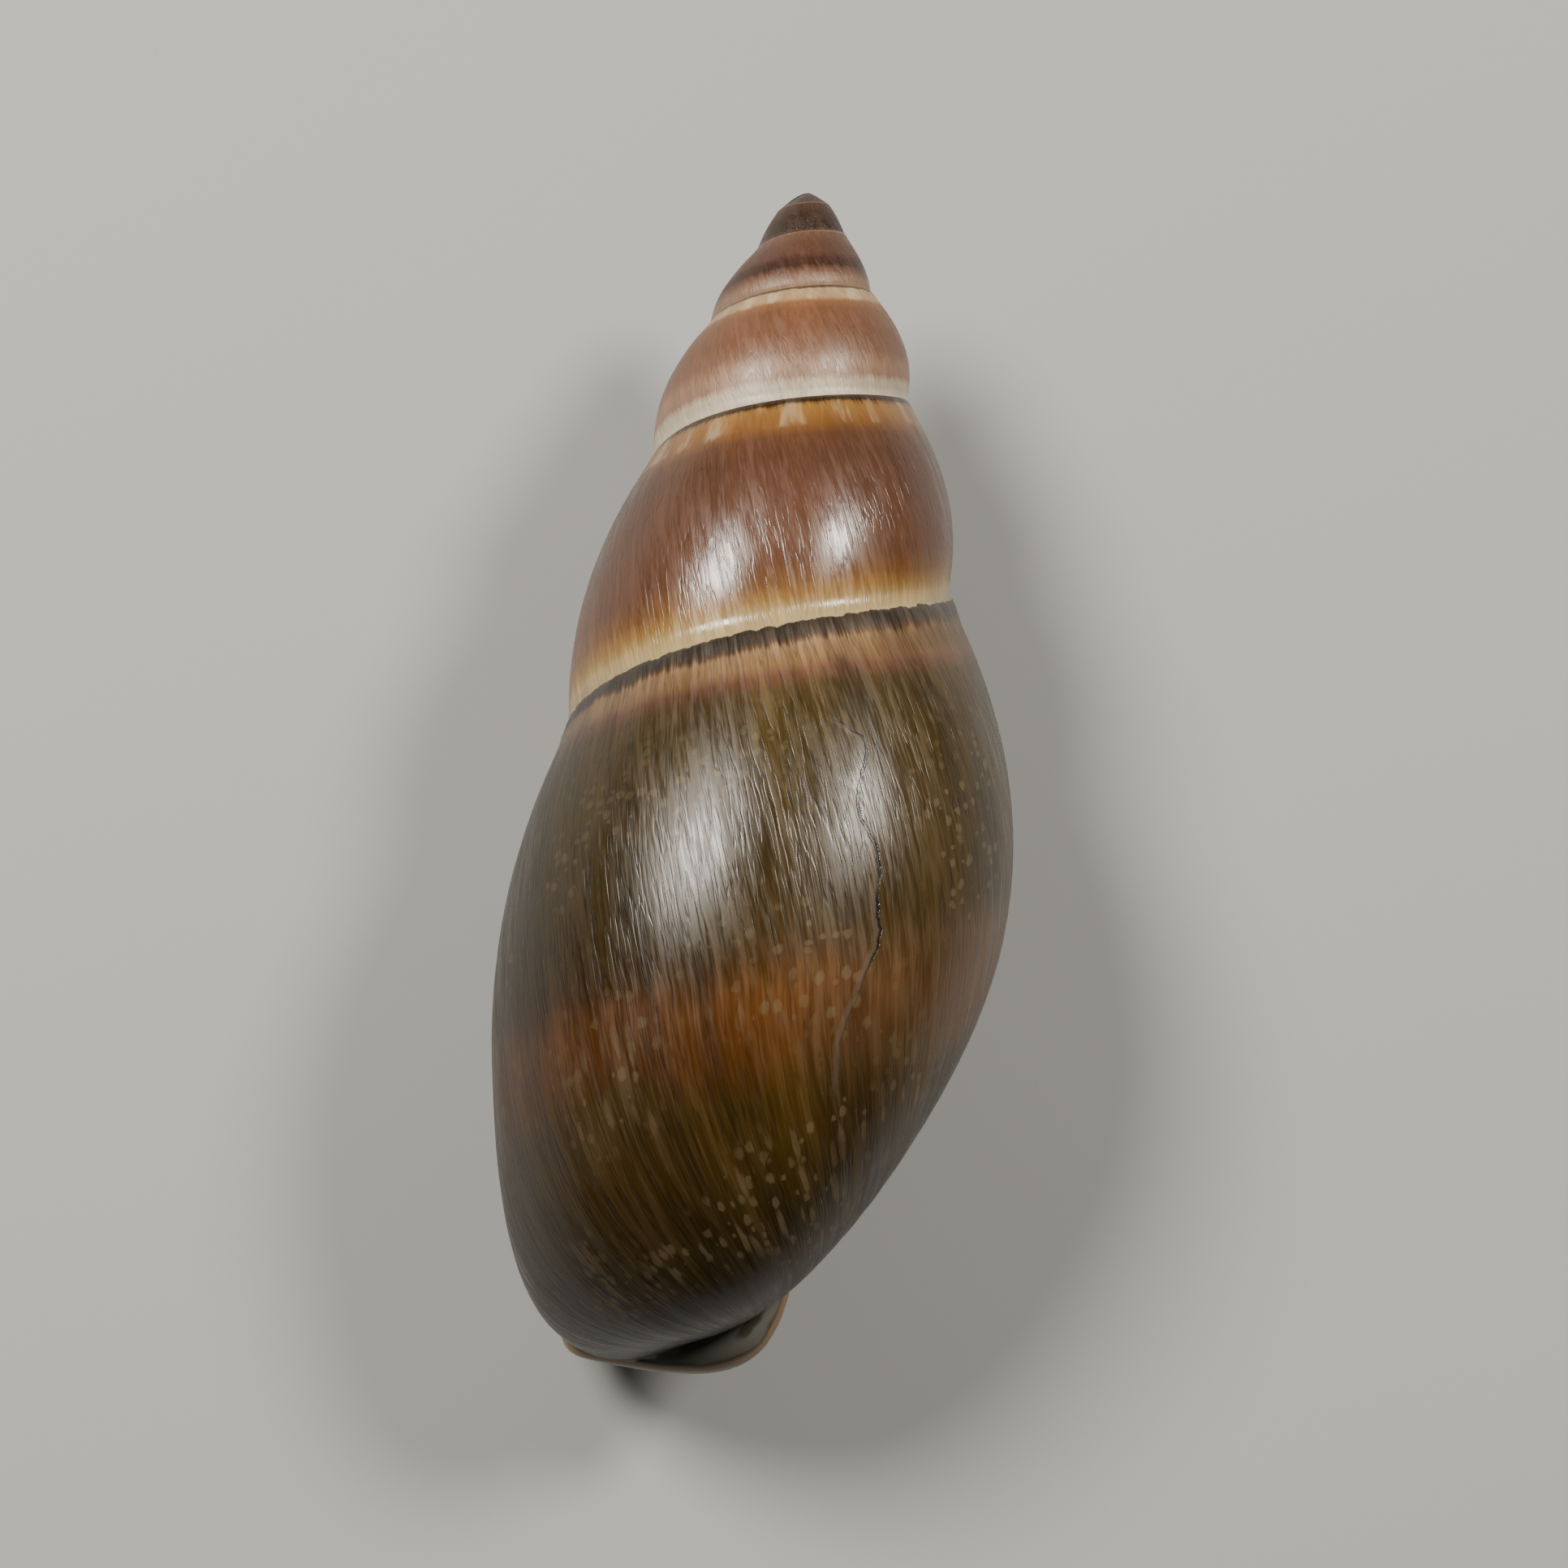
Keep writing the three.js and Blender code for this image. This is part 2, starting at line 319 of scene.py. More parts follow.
def whorl_seams(growth, turn):
    """The suture above and the seam below a whorl, how far apart they are, and the bulge between them."""
    suture_r, suture_h, _ = parts(use_group(whorl_size, Growth=growth, Turn=turn + (SUTURE_LAG - 1))[0])
    seam_r, seam_h, base = parts(use_group(whorl_size, Growth=growth, Turn=turn)[0])
    out, down = seam_r - suture_r, seam_h - suture_h
    bulge = (YOUNG_BULGE + (GROWN_BULGE - YOUNG_BULGE) * smooth(turn, *BULGE_GROWS)) * out
    return suture_r, suture_h, seam_r, seam_h, base, out, down, bulge


upper_arc, (growth, turn, along), result = start_group(
    "GeometryNodeTree", "Upper arc", ARC_INPUTS, ARC_OUTPUTS
)
suture_r, suture_h, seam_r, seam_h, _, out, down, bulge = whorl_seams(growth, turn)
flare = (YOUNG_FLARE + (GROWN_FLARE - YOUNG_FLARE) * smooth(turn, *FLARE_GROWS)) * out
plug(bezier(along, suture_r, suture_r + flare, seam_r + bulge, seam_r), result.inputs["Radius"])
drop = bezier(along, suture_h, suture_h + SUTURE_STEEPNESS * down, seam_h - SEAM_STRAIGHTNESS * down, seam_h)
plug(drop, result.inputs["Drop"])

lower_arc, (growth, turn, along), result = start_group(
    "GeometryNodeTree", "Lower arc", ARC_INPUTS, ARC_OUTPUTS
)
_, _, seam_r, seam_h, base, _, down, bulge = whorl_seams(growth, turn)
ripe = smooth(turn, TURNS - LIP_RIPENS, TURNS)
straight = (BASE_STRAIGHTNESS + LIP_STRAIGHTNESS * ripe) * (base - seam_h)
inward = straight * bulge / (SEAM_STRAIGHTNESS * down)
full = (BASE_FULLNESS + LIP_FULLNESS * ripe) * seam_r
plug(bezier(along, seam_r, seam_r - inward, full, 0.0), result.inputs["Radius"])
plug(bezier(along, seam_h, seam_h + straight, base + LIP_SAG * ripe * ripe, base), result.inputs["Drop"])

outline, (growth, turn, across), result = start_group(
    "GeometryNodeTree", "Whorl outline",
    [("Growth", GEOMETRY), ("Turn", NUMBER), ("Across", NUMBER)], ARC_OUTPUTS,
)
upper = use_group(upper_arc, Growth=growth, Turn=turn, Along=share(across, 0.0, 1.0))
lower = use_group(lower_arc, Growth=growth, Turn=turn, Along=share(across, 1.0, 2.0))
is_lower = maths("GREATER_THAN", across, 1.0)
for label, above, below in zip(("Radius", "Drop"), upper, lower):
    plug(above + (below - above) * is_lower, result.inputs[label])
print("outline group:", len(outline.nodes), "nodes, using", upper_arc.name, "and", lower_arc.name)

# %% [markdown]
# ## A point of the coil
# A snail doesn't add lime along an upright line: the growth lines trail behind as they run down, a little
# at the next suture and much more at the axis. This group takes a turn and a place across, finds the
# outline point, pushes it into the shell by the thickness of the wall where that is asked for, and winds
# it round the axis, which lies along Y with the tip at the origin. A whole number of turns faces up, +Z.

# %% Coil point group
TANGENT_STEP = 0.002

coil_point, (growth, turn, across, inset), result = start_group(
    "GeometryNodeTree", "Coil point",
    [("Growth", GEOMETRY), ("Turn", NUMBER), ("Across", NUMBER), ("Inset", NUMBER)], [("Position", VECTOR)],
)
radius, drop = use_group(outline, Growth=growth, Turn=turn, Across=across)
before = use_group(outline, Growth=growth, Turn=turn, Across=across - TANGENT_STEP)
after = use_group(outline, Growth=growth, Turn=turn, Across=across + TANGENT_STEP)
run_r, run_h = after[0] - before[0], after[1] - before[1]
length = maths("MAXIMUM", maths("SQRT", run_r * run_r + run_h * run_h), 1e-6)
radius = radius - inset * run_h / length
drop = drop + inset * run_r / length
past = share(across, 1.0, 2.0)
lag = SUTURE_LAG * share(across, 0.0, 1.0) + (AXIS_LAG - SUTURE_LAG) * past * past
angle = (turn - lag) * (2 * math.pi)
position = vector(-1 * radius * maths("SINE", angle), -1 * drop, radius * maths("COSINE", angle))
plug(position, result.inputs["Position"])
print("coil point group:", len(coil_point.nodes), "nodes")

# %% [markdown]
# ## Relief
# The skin isn't smooth. Growth lines stand up as fine ribs with slower swells between them, the edge
# under the suture is crinkled on the last whorl, and one old break has healed as a step that wanders down
# the front. Relief is a height in millimetres for each place on the skin. It fades out at the sutures,
# where two whorls share their points. Distances along the growth are in millimetres too: the arc from the
# tip is close to a cubic in the turn, so one short formula keeps the ribs equally far apart on large and
# small whorls.

# %% Relief of the skin
ARC_SQUARE, ARC_CUBE = 4.17, 0.4
LINE_LEAN = 0.035
BODY_FROM = 5.45
# The healed break: place across, and turn
SCAR = [
    (0.35, 5.970), (0.40, 5.957), (0.44, 5.950), (0.54, 5.957), (0.625, 5.960), (0.70, 5.953), (0.76, 5.950),
    (0.85, 5.952), (0.94, 5.951), (1.0, 5.956), (1.062, 5.962), (1.163, 5.972), (1.24, 5.973), (1.312, 5.971),
]
SCAR_MIDDLE, SCAR_SPAN = 5.965, 0.1


def arc_length(turn):
    return turn * turn * (ARC_SQUARE + ARC_CUBE * turn)


def scar_turn(across):
    """The turn of the healed break at each place across, from a curve through its points."""
    node = across.tree.nodes.new("ShaderNodeFloatCurve")
    curve = node.mapping.curves[0]
    while len(curve.points) < len(SCAR):
        curve.points.new(0.5, 0.5)
    for point, (place, at) in zip(curve.points, SCAR):
        point.location = (place / 2, 0.5 + (at - SCAR_MIDDLE) / SCAR_SPAN)
    node.mapping.update()
    plug(across / 2, node.inputs["Value"])
    ragged = noise(vector(across * 22.0, 0.0, 0.0), 1.0, 3.0, 0.65, 15.0) - 0.5
    return (Field(node.outputs[0]) - 0.5) * SCAR_SPAN + SCAR_MIDDLE + ragged * 0.007


relief, (turn, across, rib, crinkle, scar, seed), result = start_group(
    "GeometryNodeTree", "Skin relief",
    [("Turn", NUMBER), ("Across", NUMBER), ("Rib height", NUMBER), ("Crinkle height", NUMBER),
     ("Scar height", NUMBER), ("Seed", NUMBER)],
    [("Height", NUMBER)],
)
arc = arc_length(turn + LINE_LEAN * across)
on_body = smooth(turn, BODY_FROM - 0.1, BODY_FROM + 0.1)
ribs = noise(vector(arc * 0.75, across * 0.8, 0.0), 1.0, 1.0, 0.5, seed) - 0.5
swells = noise(vector(arc * 0.13, across * 0.5, 3.0), 1.0, 1.0, 0.5, seed) - 0.5
size_share = smooth(turn, 1.0, 5.5)
crinkles = noise(vector(arc * 0.9, across * 14.0, 7.0), 1.0, 2.0, 0.6, seed)
edge = (1 - smooth(across, 0.02, 0.12)) * (0.3 + 0.7 * on_body) * (0.35 + 1.3 * crinkles) * size_share
lead = turn - scar_turn(across)
flap = smooth(lead, -0.003, 0.0003) * (1 - smooth(lead, 0.0, 0.02))
in_scar = smooth(across, 0.34, 0.42) * (1 - smooth(across, 1.18, 1.31)) * on_body
heights = rib * size_share * (2 * ribs + 3 * swells) + crinkle * edge + scar * flap * in_scar
sutures = smooth(across, 0.0, 0.012) * (1 - smooth(across, 0.96, 1.0) * (1 - smooth(turn, 5.4, 5.46)))
fade = sutures * (1 - smooth(across, 1.85, 2.0))
lip_fade = 1 - smooth(turn, TURNS - 0.03, TURNS)
plug(heights * fade * lip_fade, result.inputs["Height"])
print("relief group:", len(relief.nodes), "nodes")

# %% [markdown]
# ## The skin, patch by patch
# The skin is a few grids of points, each bent to its place by the coil point group: the whorls down to
# their sutures, the base of the last whorl, the whorl before as seen from the hollow, the inner face of
# the wall, and narrow strips that close the lip and the inner end of the hollow. A grid's index gives its
# column, which is the turn, and its row, which is the place across. Where two grids meet they use the
# same rows and columns, so Merge by Distance sews them into one closed skin. Each corner keeps its turn
# and place across in a UV map called `coil`, and the finishes read that.

# %% Rows and columns
COLUMNS_PER_TURN = 240
INSIDE_STEP = 2
UPPER_ROWS, BASE_ROWS = 26, 34
CROWDING, CROWDING_GROWS = 1.6, (0.8, 2.0)
HOLLOW_TURN = 3.2
last_column = round(TURNS * COLUMNS_PER_TURN)
seam_shift = round((1 - SUTURE_LAG) * COLUMNS_PER_TURN)
mouth_column = last_column - seam_shift
hollow_column = round(HOLLOW_TURN * COLUMNS_PER_TURN)
seam_row = UPPER_ROWS
axis_row = seam_row + BASE_ROWS
top_row, foot_row = seam_row + 8, seam_row + 30
inner_top, inner_foot = 11, seam_row + 31


def across_of(row, turn):
    """Place across of a row. Under the suture of grown whorls the rows crowd together."""
    crowding = 1 + (CROWDING - 1) * smooth(turn, *CROWDING_GROWS)
    upper = maths("POWER", share(row, 0.0, float(UPPER_ROWS)), crowding)
    return upper + share(row, float(seam_row), float(axis_row))


print("columns", last_column, "seam shift", seam_shift, "rows", axis_row, "mouth column", mouth_column)

# %% [markdown]
# ## The tree of the shell
# The sizes that could be tuned are named inputs of the tree, with the seed of its noise. The growth
# stations and the lip stations come in as one mesh and are parted first. After that a helper makes one
# bent grid, and the patches are a list of those.

# %% Tree of the shell: inputs
SIZES = {
    "Wall share": 0.065, "Rib height": 0.045, "Crinkle height": 0.2, "Scar height": 0.06,
    "Lip thin": 0.6, "Lip thick": 1.9, "Seed": 11.0,
}
tree_inputs = [("Stations", GEOMETRY)] + [(label, NUMBER) for label in SIZES]
tree_inputs += [("Skin", "NodeSocketMaterial"), ("Glaze", "NodeSocketMaterial")]
coil_tree, given, coil_result = start_group(
    "GeometryNodeTree", "Shell coil", tree_inputs, [("Shell", GEOMETRY)]
)
given = dict(zip([label for label, _ in tree_inputs], given))
coil_tree.is_modifier = True


def add(kind, **settings):
    node = coil_tree.nodes.new(kind)
    for name, value in settings.items():
        setattr(node, name, value)
    return node


def is_lip_station():
    index = Field(add("GeometryNodeInputIndex").outputs[0])
    return maths("GREATER_THAN", index, FIRST_LIP_STATION - 0.5)


apart = add("GeometryNodeSeparateGeometry", domain="POINT")
plug(given["Stations"], apart.inputs["Geometry"])
plug(is_lip_station(), apart.inputs["Selection"])
lip_line, growth_line = Field(apart.outputs["Selection"]), Field(apart.outputs["Inverted"])
print("shell tree inputs:", list(given))

# %% One grid, bent to its place
def store(geometry, label, value, kind, domain):
    node = add("GeometryNodeStoreNamedAttribute", data_type=kind, domain=domain)
    plug(geometry, node.inputs["Geometry"])
    node.inputs["Name"].default_value = label
    plug(value, node.inputs["Value"])
    return Field(node.outputs[0])


def bend(columns, rows, describe, glazed, turned=False, has_relief=False):
    """A grid whose points go where describe(column, row) says: turn, across and inset."""
    grid = add("GeometryNodeMeshGrid")
    grid.inputs["Vertices X"].default_value = columns + 1
    grid.inputs["Vertices Y"].default_value = rows + 1
    index = Field(add("GeometryNodeInputIndex").outputs[0])
    column = maths("FLOOR", (index + 0.5) / (rows + 1.0))
    row = maths("ROUND", index - column * (rows + 1.0))
    turn, across, inset = describe(column, row)
    place = add("GeometryNodeSetPosition")
    plug(Field(grid.outputs["Mesh"]), place.inputs["Geometry"])
    position = use_group(coil_point, Growth=growth_line, Turn=turn, Across=across, Inset=inset)[0]
    plug(position, place.inputs["Position"])
    geometry = Field(place.outputs[0])
    on_points = add("GeometryNodeFieldOnDomain", data_type="FLOAT_VECTOR", domain="POINT")
    plug(vector(turn, across, 0.0), on_points.inputs[0])
    height = 0.0
    if has_relief:
        height = use_group(
            relief, Turn=turn, Across=across, Rib_height=given["Rib height"],
            Crinkle_height=given["Crinkle height"], Scar_height=given["Scar height"], Seed=given["Seed"],
        )[0]
    geometry = store(geometry, "relief", height, "FLOAT", "POINT")
    geometry = store(geometry, "coil", Field(on_points.outputs[0]), "FLOAT2", "CORNER")
    geometry = store(geometry, "glazed", glazed, "FLOAT", "FACE")
    if turned:
        flip = add("GeometryNodeFlipFaces")
        plug(geometry, flip.inputs["Mesh"])
        geometry = Field(flip.outputs[0])
    return geometry


def at(column, row, inset=0.0):
    """Turn, across and inset of a place given by its column and row on the outside."""
    turn = column / COLUMNS_PER_TURN
    return turn, across_of(row, turn), inset


def wall(column):
    """Thickness of the wall, in millimetres, from the size of the whorl."""
    size = use_group(whorl_size, Growth=growth_line, Turn=column / COLUMNS_PER_TURN)[0]
    return given["Wall share"] * parts(size)[0]


# %% The patches
def inner_face(column, row):
    """Inner face of the wall; its first and last row lie on the whorl before."""
    is_top = maths("LESS_THAN", row, 0.5)
    is_foot = maths("GREATER_THAN", row, inner_foot - inner_top + 1.5)
    is_edge = is_top + is_foot
    free_row = row + (inner_top - 1.0)
    held_row = top_row * is_top + foot_row * is_foot
    inset = wall(column) * (1 - is_edge)
    return at(column - seam_shift * is_edge, free_row + (held_row - free_row) * is_edge, inset)


def whole(column, row):
    return at(column, row)


def base(column, row):
    return at(column + mouth_column, row + seam_row)


def whorl_before(column, row):
    return at(column * INSIDE_STEP + (hollow_column - seam_shift), row + top_row)


def wall_inside(column, row):
    return inner_face(column * INSIDE_STEP + hollow_column, row)


inner_rows = inner_foot - inner_top + 2
hollow_columns = (last_column - hollow_column) // INSIDE_STEP
patches = [
    bend(last_column, seam_row, whole, 0.0, has_relief=True),
    bend(seam_shift, BASE_ROWS, base, 0.0, has_relief=True),
    bend(hollow_columns, foot_row - top_row, whorl_before, 1.0),
    bend(hollow_columns, inner_rows, wall_inside, 1.0, turned=True),
]
print("main patches:", len(patches))

# %% [markdown]
# ## Closing the lip
# Four narrow strips close the skin. The lip runs from the outer edge of the last column to the inner one;
# two fans close its corners, under the suture and on the pillar; and one strip closes the inner end of
# the hollow. A strip is a grid one column wide. Where its two sides have different numbers of points,
# several rows share a point, and Merge by Distance turns those quads into triangles.

# %% Strips
def mixed(first, second, weight):
    """The three values of two places, mixed by a weight of 0 or 1."""
    pairs = zip(first, second)
    return [a + (b - a) * weight if isinstance(a, Field) or isinstance(b, Field) else a for a, b in pairs]


def lip_place(column, row):
    inner_row = maths("MINIMUM", maths("MAXIMUM", row, float(inner_top)), float(inner_foot))
    edge_row = row + (inner_row - row) * column
    return at(last_column + 0.0 * row, edge_row, wall(last_column + 0.0 * row) * column)


def top_fan(column, row):
    corner = at(last_column + 0.0 * row, inner_top + 0.0 * row, wall(last_column + 0.0 * row))
    edge = at(mouth_column + 0.0 * row, row + seam_row, 0.0 * row)
    return mixed(corner, edge, column)


def foot_fan(column, row):
    corner = at(last_column + 0.0 * row, inner_foot + 0.0 * row, wall(last_column + 0.0 * row))
    axis_column = maths("MAXIMUM", last_column - row, float(mouth_column))
    edge_row = axis_row - maths("MAXIMUM", row - seam_shift, 0.0)
    return mixed(corner, at(axis_column, edge_row, 0.0 * row), column)


def hollow_end(column, row):
    rim = inner_face(hollow_column + 0.0 * row, row)
    steps = maths("ROUND", row * ((foot_row - top_row) / inner_rows))
    core = at(hollow_column - seam_shift + 0.0 * row, steps + top_row, 0.0 * row)
    return mixed(rim, core, column)


patches += [
    bend(1, axis_row, lip_place, 1.0),
    bend(1, top_row - seam_row, top_fan, 1.0),
    bend(1, seam_shift + axis_row - foot_row, foot_fan, 1.0, turned=True),
    bend(1, inner_rows, hollow_end, 1.0),
]
print("patches with strips:", len(patches))

# %% [markdown]
# ## Sewing and raising
# Joined and merged, the patches are one closed skin. Its points then move along their normals by the
# relief.

# %% Join, merge, raise
MERGE_DISTANCE = 0.0003
join = add("GeometryNodeJoinGeometry")
for patch in patches:
    plug(patch, join.inputs[0])
merge = add("GeometryNodeMergeByDistance")
plug(Field(join.outputs[0]), merge.inputs["Geometry"])
merge.inputs["Distance"].default_value = MERGE_DISTANCE
raised = add("GeometryNodeSetPosition")
height = add("GeometryNodeInputNamedAttribute", data_type="FLOAT")
height.inputs["Name"].default_value = "relief"
normal = Field(add("GeometryNodeInputNormal").outputs[0])
plug(Field(merge.outputs[0]), raised.inputs["Geometry"])
plug(vector_maths("SCALE", normal, Field(height.outputs[0])), raised.inputs["Offset"])
print("sewing", len(patches), "patches")

# %% [markdown]
# ## The rounded lip
# A full-grown snail finishes its mouth with a roll of lime, thin under the suture and thick where it
# turns up the pillar. It is a tube along the lip stations: they become a smooth curve, the curve's radius
# grows along it, and Curve to Mesh wraps a circle round it. A Boolean then makes the roll and the skin
# one body.

# %% Lip roll
REST_UP = (0.11594876, 0.05797438, 0.99156183)
ROLL_STATIONS, ROLL_SIDES = 140, 20
ROLL_THICKENS = (0.45, 0.8)
station = parts(Field(add("GeometryNodeInputPosition").outputs[0]))
mouth = use_group(
    coil_point, Growth=growth_line, Turn=0.0 * station[0] + TURNS, Across=station[0],
    Inset=wall(0.0 * station[0] + last_column) / 2,
)[0]
pillar_angle = 2 * math.pi * (TURNS - AXIS_LAG)
pillar = vector(station[0] * -math.sin(pillar_angle), -1 * station[1], station[0] * math.cos(pillar_angle))
from_mouth = vector_maths("SUBTRACT", pillar, mouth)
on_pillar = vector_maths("ADD", mouth, vector_maths("SCALE", from_mouth, station[2]))
roll_place = add("GeometryNodeSetPosition")
plug(lip_line, roll_place.inputs["Geometry"])
plug(on_pillar, roll_place.inputs["Position"])
roll_curve = add("GeometryNodeMeshToCurve")
plug(Field(roll_place.outputs[0]), roll_curve.inputs["Mesh"])
roll_smooth = add("GeometryNodeCurveSplineType", spline_type="CATMULL_ROM")
plug(Field(roll_curve.outputs[0]), roll_smooth.inputs["Curve"])
roll_even = add("GeometryNodeResampleCurve")
plug(Field(roll_smooth.outputs[0]), roll_even.inputs["Curve"])
roll_even.inputs["Count"].default_value = ROLL_STATIONS
along_roll = Field(add("GeometryNodeSplineParameter").outputs["Factor"])
thickness = smooth(along_roll, *ROLL_THICKENS)
ring = add("GeometryNodeCurvePrimitiveCircle")
ring.inputs["Resolution"].default_value = ROLL_SIDES
ring.inputs["Radius"].default_value = 1.0
roll = add("GeometryNodeCurveToMesh")
plug(store(Field(roll_even.outputs[0]), "along", along_roll, "FLOAT", "POINT"), roll.inputs["Curve"])
plug(given["Lip thin"] + (given["Lip thick"] - given["Lip thin"]) * thickness, roll.inputs["Scale"])
plug(Field(ring.outputs["Curve"]), roll.inputs["Profile Curve"])
roll.inputs["Fill Caps"].default_value = True
roll_mesh = store(Field(roll.outputs[0]), "glazed", 2.0, "FLOAT", "FACE")
along_mesh = add("GeometryNodeInputNamedAttribute", data_type="FLOAT")
along_mesh.inputs["Name"].default_value = "along"
facing = vector_maths("DOT_PRODUCT", Field(add("GeometryNodeInputNormal").outputs[0]), REST_UP)
roll_chart = add("GeometryNodeFieldOnDomain", data_type="FLOAT_VECTOR", domain="POINT")
plug(vector(Field(along_mesh.outputs[0]), facing, 0.0), roll_chart.inputs[0])
roll_mesh = store(roll_mesh, "coil", Field(roll_chart.outputs[0]), "FLOAT2", "CORNER")
print("lip roll:", ROLL_STATIONS, "rings of", ROLL_SIDES, "points")

# %% [markdown]
# ## One body with two finishes
# The skin goes on everything first, and the glaze on the faces that were marked as glazed.

# %% Union, finish and output
union = add("GeometryNodeMeshBoolean", operation="UNION", solver="MANIFOLD")
plug(Field(raised.outputs[0]), union.inputs["Mesh 2"])
plug(roll_mesh, union.inputs["Mesh 2"])
rounded = add("GeometryNodeSetShadeSmooth")
plug(Field(union.outputs["Mesh"]), rounded.inputs["Geometry"])
real = add("GeometryNodeRealizeInstances")
plug(Field(rounded.outputs[0]), real.inputs["Geometry"])
skin_set = add("GeometryNodeSetMaterial")
plug(Field(real.outputs[0]), skin_set.inputs["Geometry"])
plug(given["Skin"], skin_set.inputs["Material"])
glazed = add("GeometryNodeInputNamedAttribute", data_type="FLOAT")
glazed.inputs["Name"].default_value = "glazed"
glaze_set = add("GeometryNodeSetMaterial")
plug(Field(skin_set.outputs[0]), glaze_set.inputs["Geometry"])
plug(maths("GREATER_THAN", Field(glazed.outputs[0]), 0.5), glaze_set.inputs["Selection"])
plug(given["Glaze"], glaze_set.inputs["Material"])
plug(Field(glaze_set.outputs[0]), coil_result.inputs["Shell"])
print("shell tree:", len(coil_tree.nodes), "nodes")

# %% [markdown]
# ## Finishes
# A snail dyes the strip it adds at each place across the mouth, so colour runs in bands along the coil,
# and every change of its diet or the weather leaves a streak along a growth line. The `coil` map holds
# exactly these two directions: the turn, and the place across. The first finish is the skin: glossy,
# brown and mauve on the young whorls, with orange and cream beside the sutures, and dark olive on the
# last whorl. The second is the glaze: the pale lime of the inside and the roll of the lip. Both show
# growth lines, so these are a shader group.

# %% Colour helpers
LIFT, RICHNESS = 0.68, 1.06


def tone(red, green, blue):
    """A colour named by its screen values from 0 to 255, made richer, as the linear values shaders use."""
    values = [c / 255 for c in (red, green, blue)]
    linear = [c / 12.92 if c <= 0.04045 else ((c + 0.055) / 1.055) ** 2.4 for c in values]
    grey = 0.3 * linear[0] + 0.6 * linear[1] + 0.1 * linear[2]
    return (*[max(0.0, LIFT * (grey + RICHNESS * (c - grey))) for c in linear], 1.0)


def ramp(value, stops):
    """A colour ramp; each stop is a place from 0 to 1 and a colour."""
    node = value.tree.nodes.new("ShaderNodeValToRGB")
    elements = node.color_ramp.elements
    while len(elements) < len(stops):
        elements.new(0.5)
    for element, (place, colour) in zip(elements, stops):
        element.position = place
        element.color = tone(*colour)
    plug(value, node.inputs[0])
    return Field(node.outputs[0])


def blend(first, second, amount, kind="MIX"):
    """First colour with the second mixed in by an amount from 0 to 1."""
    node = tree_of(first, second, amount).nodes.new("ShaderNodeMix")
    node.data_type = "RGBA"
    node.blend_type = kind
    node.clamp_factor = True
    plug(amount, node.inputs["Factor"])
    plug(first, node.inputs[6])
    plug(second, node.inputs[7])
    return Field(node.outputs[2])


def grey(value):
    return vector(value, value, value)


def window(value, low, high, soft):
    """1 between low and high, falling to 0 over a soft edge outside them."""
    return smooth(value, low - soft, low) * (1 - smooth(value, high, high + soft))


print("a mid brown:", [round(c, 3) for c in tone(120, 86, 53)])

# %% [markdown]
# ## Growth lines
# Three noises, stretched along the lines, make hairlines, fine lines and broad streaks. Where the fine
# one passes through its middle value there is a crease. Both finishes use this group for colour and bump.

# %% Growth lines group
lines_group, (turn, across), result = start_group(
    "ShaderNodeTree", "Growth lines", [("Turn", NUMBER), ("Across", NUMBER)],
    [("Fine", NUMBER), ("Broad", NUMBER), ("Crease", NUMBER), ("Height", NUMBER)],
)
arc = arc_length(turn + LINE_LEAN * across)
hair = noise(vector(arc * 5.0, across * 9.0, 0.0), 1.0, 2.0, 0.6, 2.0)
fine = noise(vector(arc * 1.6, across * 3.2, 5.0), 1.0, 2.0, 0.55, 3.0)
broad = noise(vector(arc * 0.34, across * 1.1, 9.0), 1.0, 2.0, 0.5, 4.0)
crease = 1 - smooth(maths("ABSOLUTE", fine - 0.5), 0.008, 0.04)
plug(smooth(fine * 0.5 + hair * 0.5, 0.36, 0.64), result.inputs["Fine"])
plug(smooth(broad, 0.3, 0.7), result.inputs["Broad"])
plug(crease, result.inputs["Crease"])
plug(fine * 0.4 + hair * 0.35 + broad * 0.1 - crease * 0.16, result.inputs["Height"])


def start_material(name):
    """A material with its shader, and the turn and place across of each point of the shell."""
    material = bpy.data.materials.new(name)
    material.use_nodes = True
    tree = material.node_tree
    chart = tree.nodes.new("ShaderNodeUVMap")
    chart.uv_map = "coil"
    turn, across, _ = parts(Field(chart.outputs[0]))
    place = Field(tree.nodes.new("ShaderNodeTexCoord").outputs["Object"])
    return material, tree.nodes["Principled BSDF"], turn, across, place


BUMP_DEPTH = 0.00005


def bump(height):
    node = height.tree.nodes.new("ShaderNodeBump")
    node.inputs["Distance"].default_value = BUMP_DEPTH
    plug(height, node.inputs["Height"])
    return Field(node.outputs[0])


print("finish helpers ready")

# %% [markdown]
# ## The skin's bands
# Five colour ramps run from one seam to the next: for the tip, for three whorls of the spire and for the
# last whorl. Along the coil one passes into the next on the far side. The place across is jogged a little
# by the growth lines before it is looked up, so the bands get the frayed edges of real ones.

# %% Skin: bands
TO_UPPER, TO_MIDDLE, TO_LOWER, TO_BODY = (2.1, 2.5), (3.25, 3.5), (4.4, 4.6), (5.4, 5.5)

skin, skin_shader, turn, across, place = start_material("snail_skin")
fine, broad, crease, line_height = use_group(lines_group, Turn=turn, Across=across)
arc = arc_length(turn)
sway = noise(vector(arc * 0.16, 0.0, 1.0), 1.0, 2.0, 0.5, 6.0) - 0.5
clouds = noise(place, 120.0, 3.0, 0.6, 9.0)
frayed = across + sway * 0.05 + (fine - 0.5) * 0.02
blotchy = frayed + (clouds - 0.5) * 0.2 * smooth(across, 0.3, 0.8)

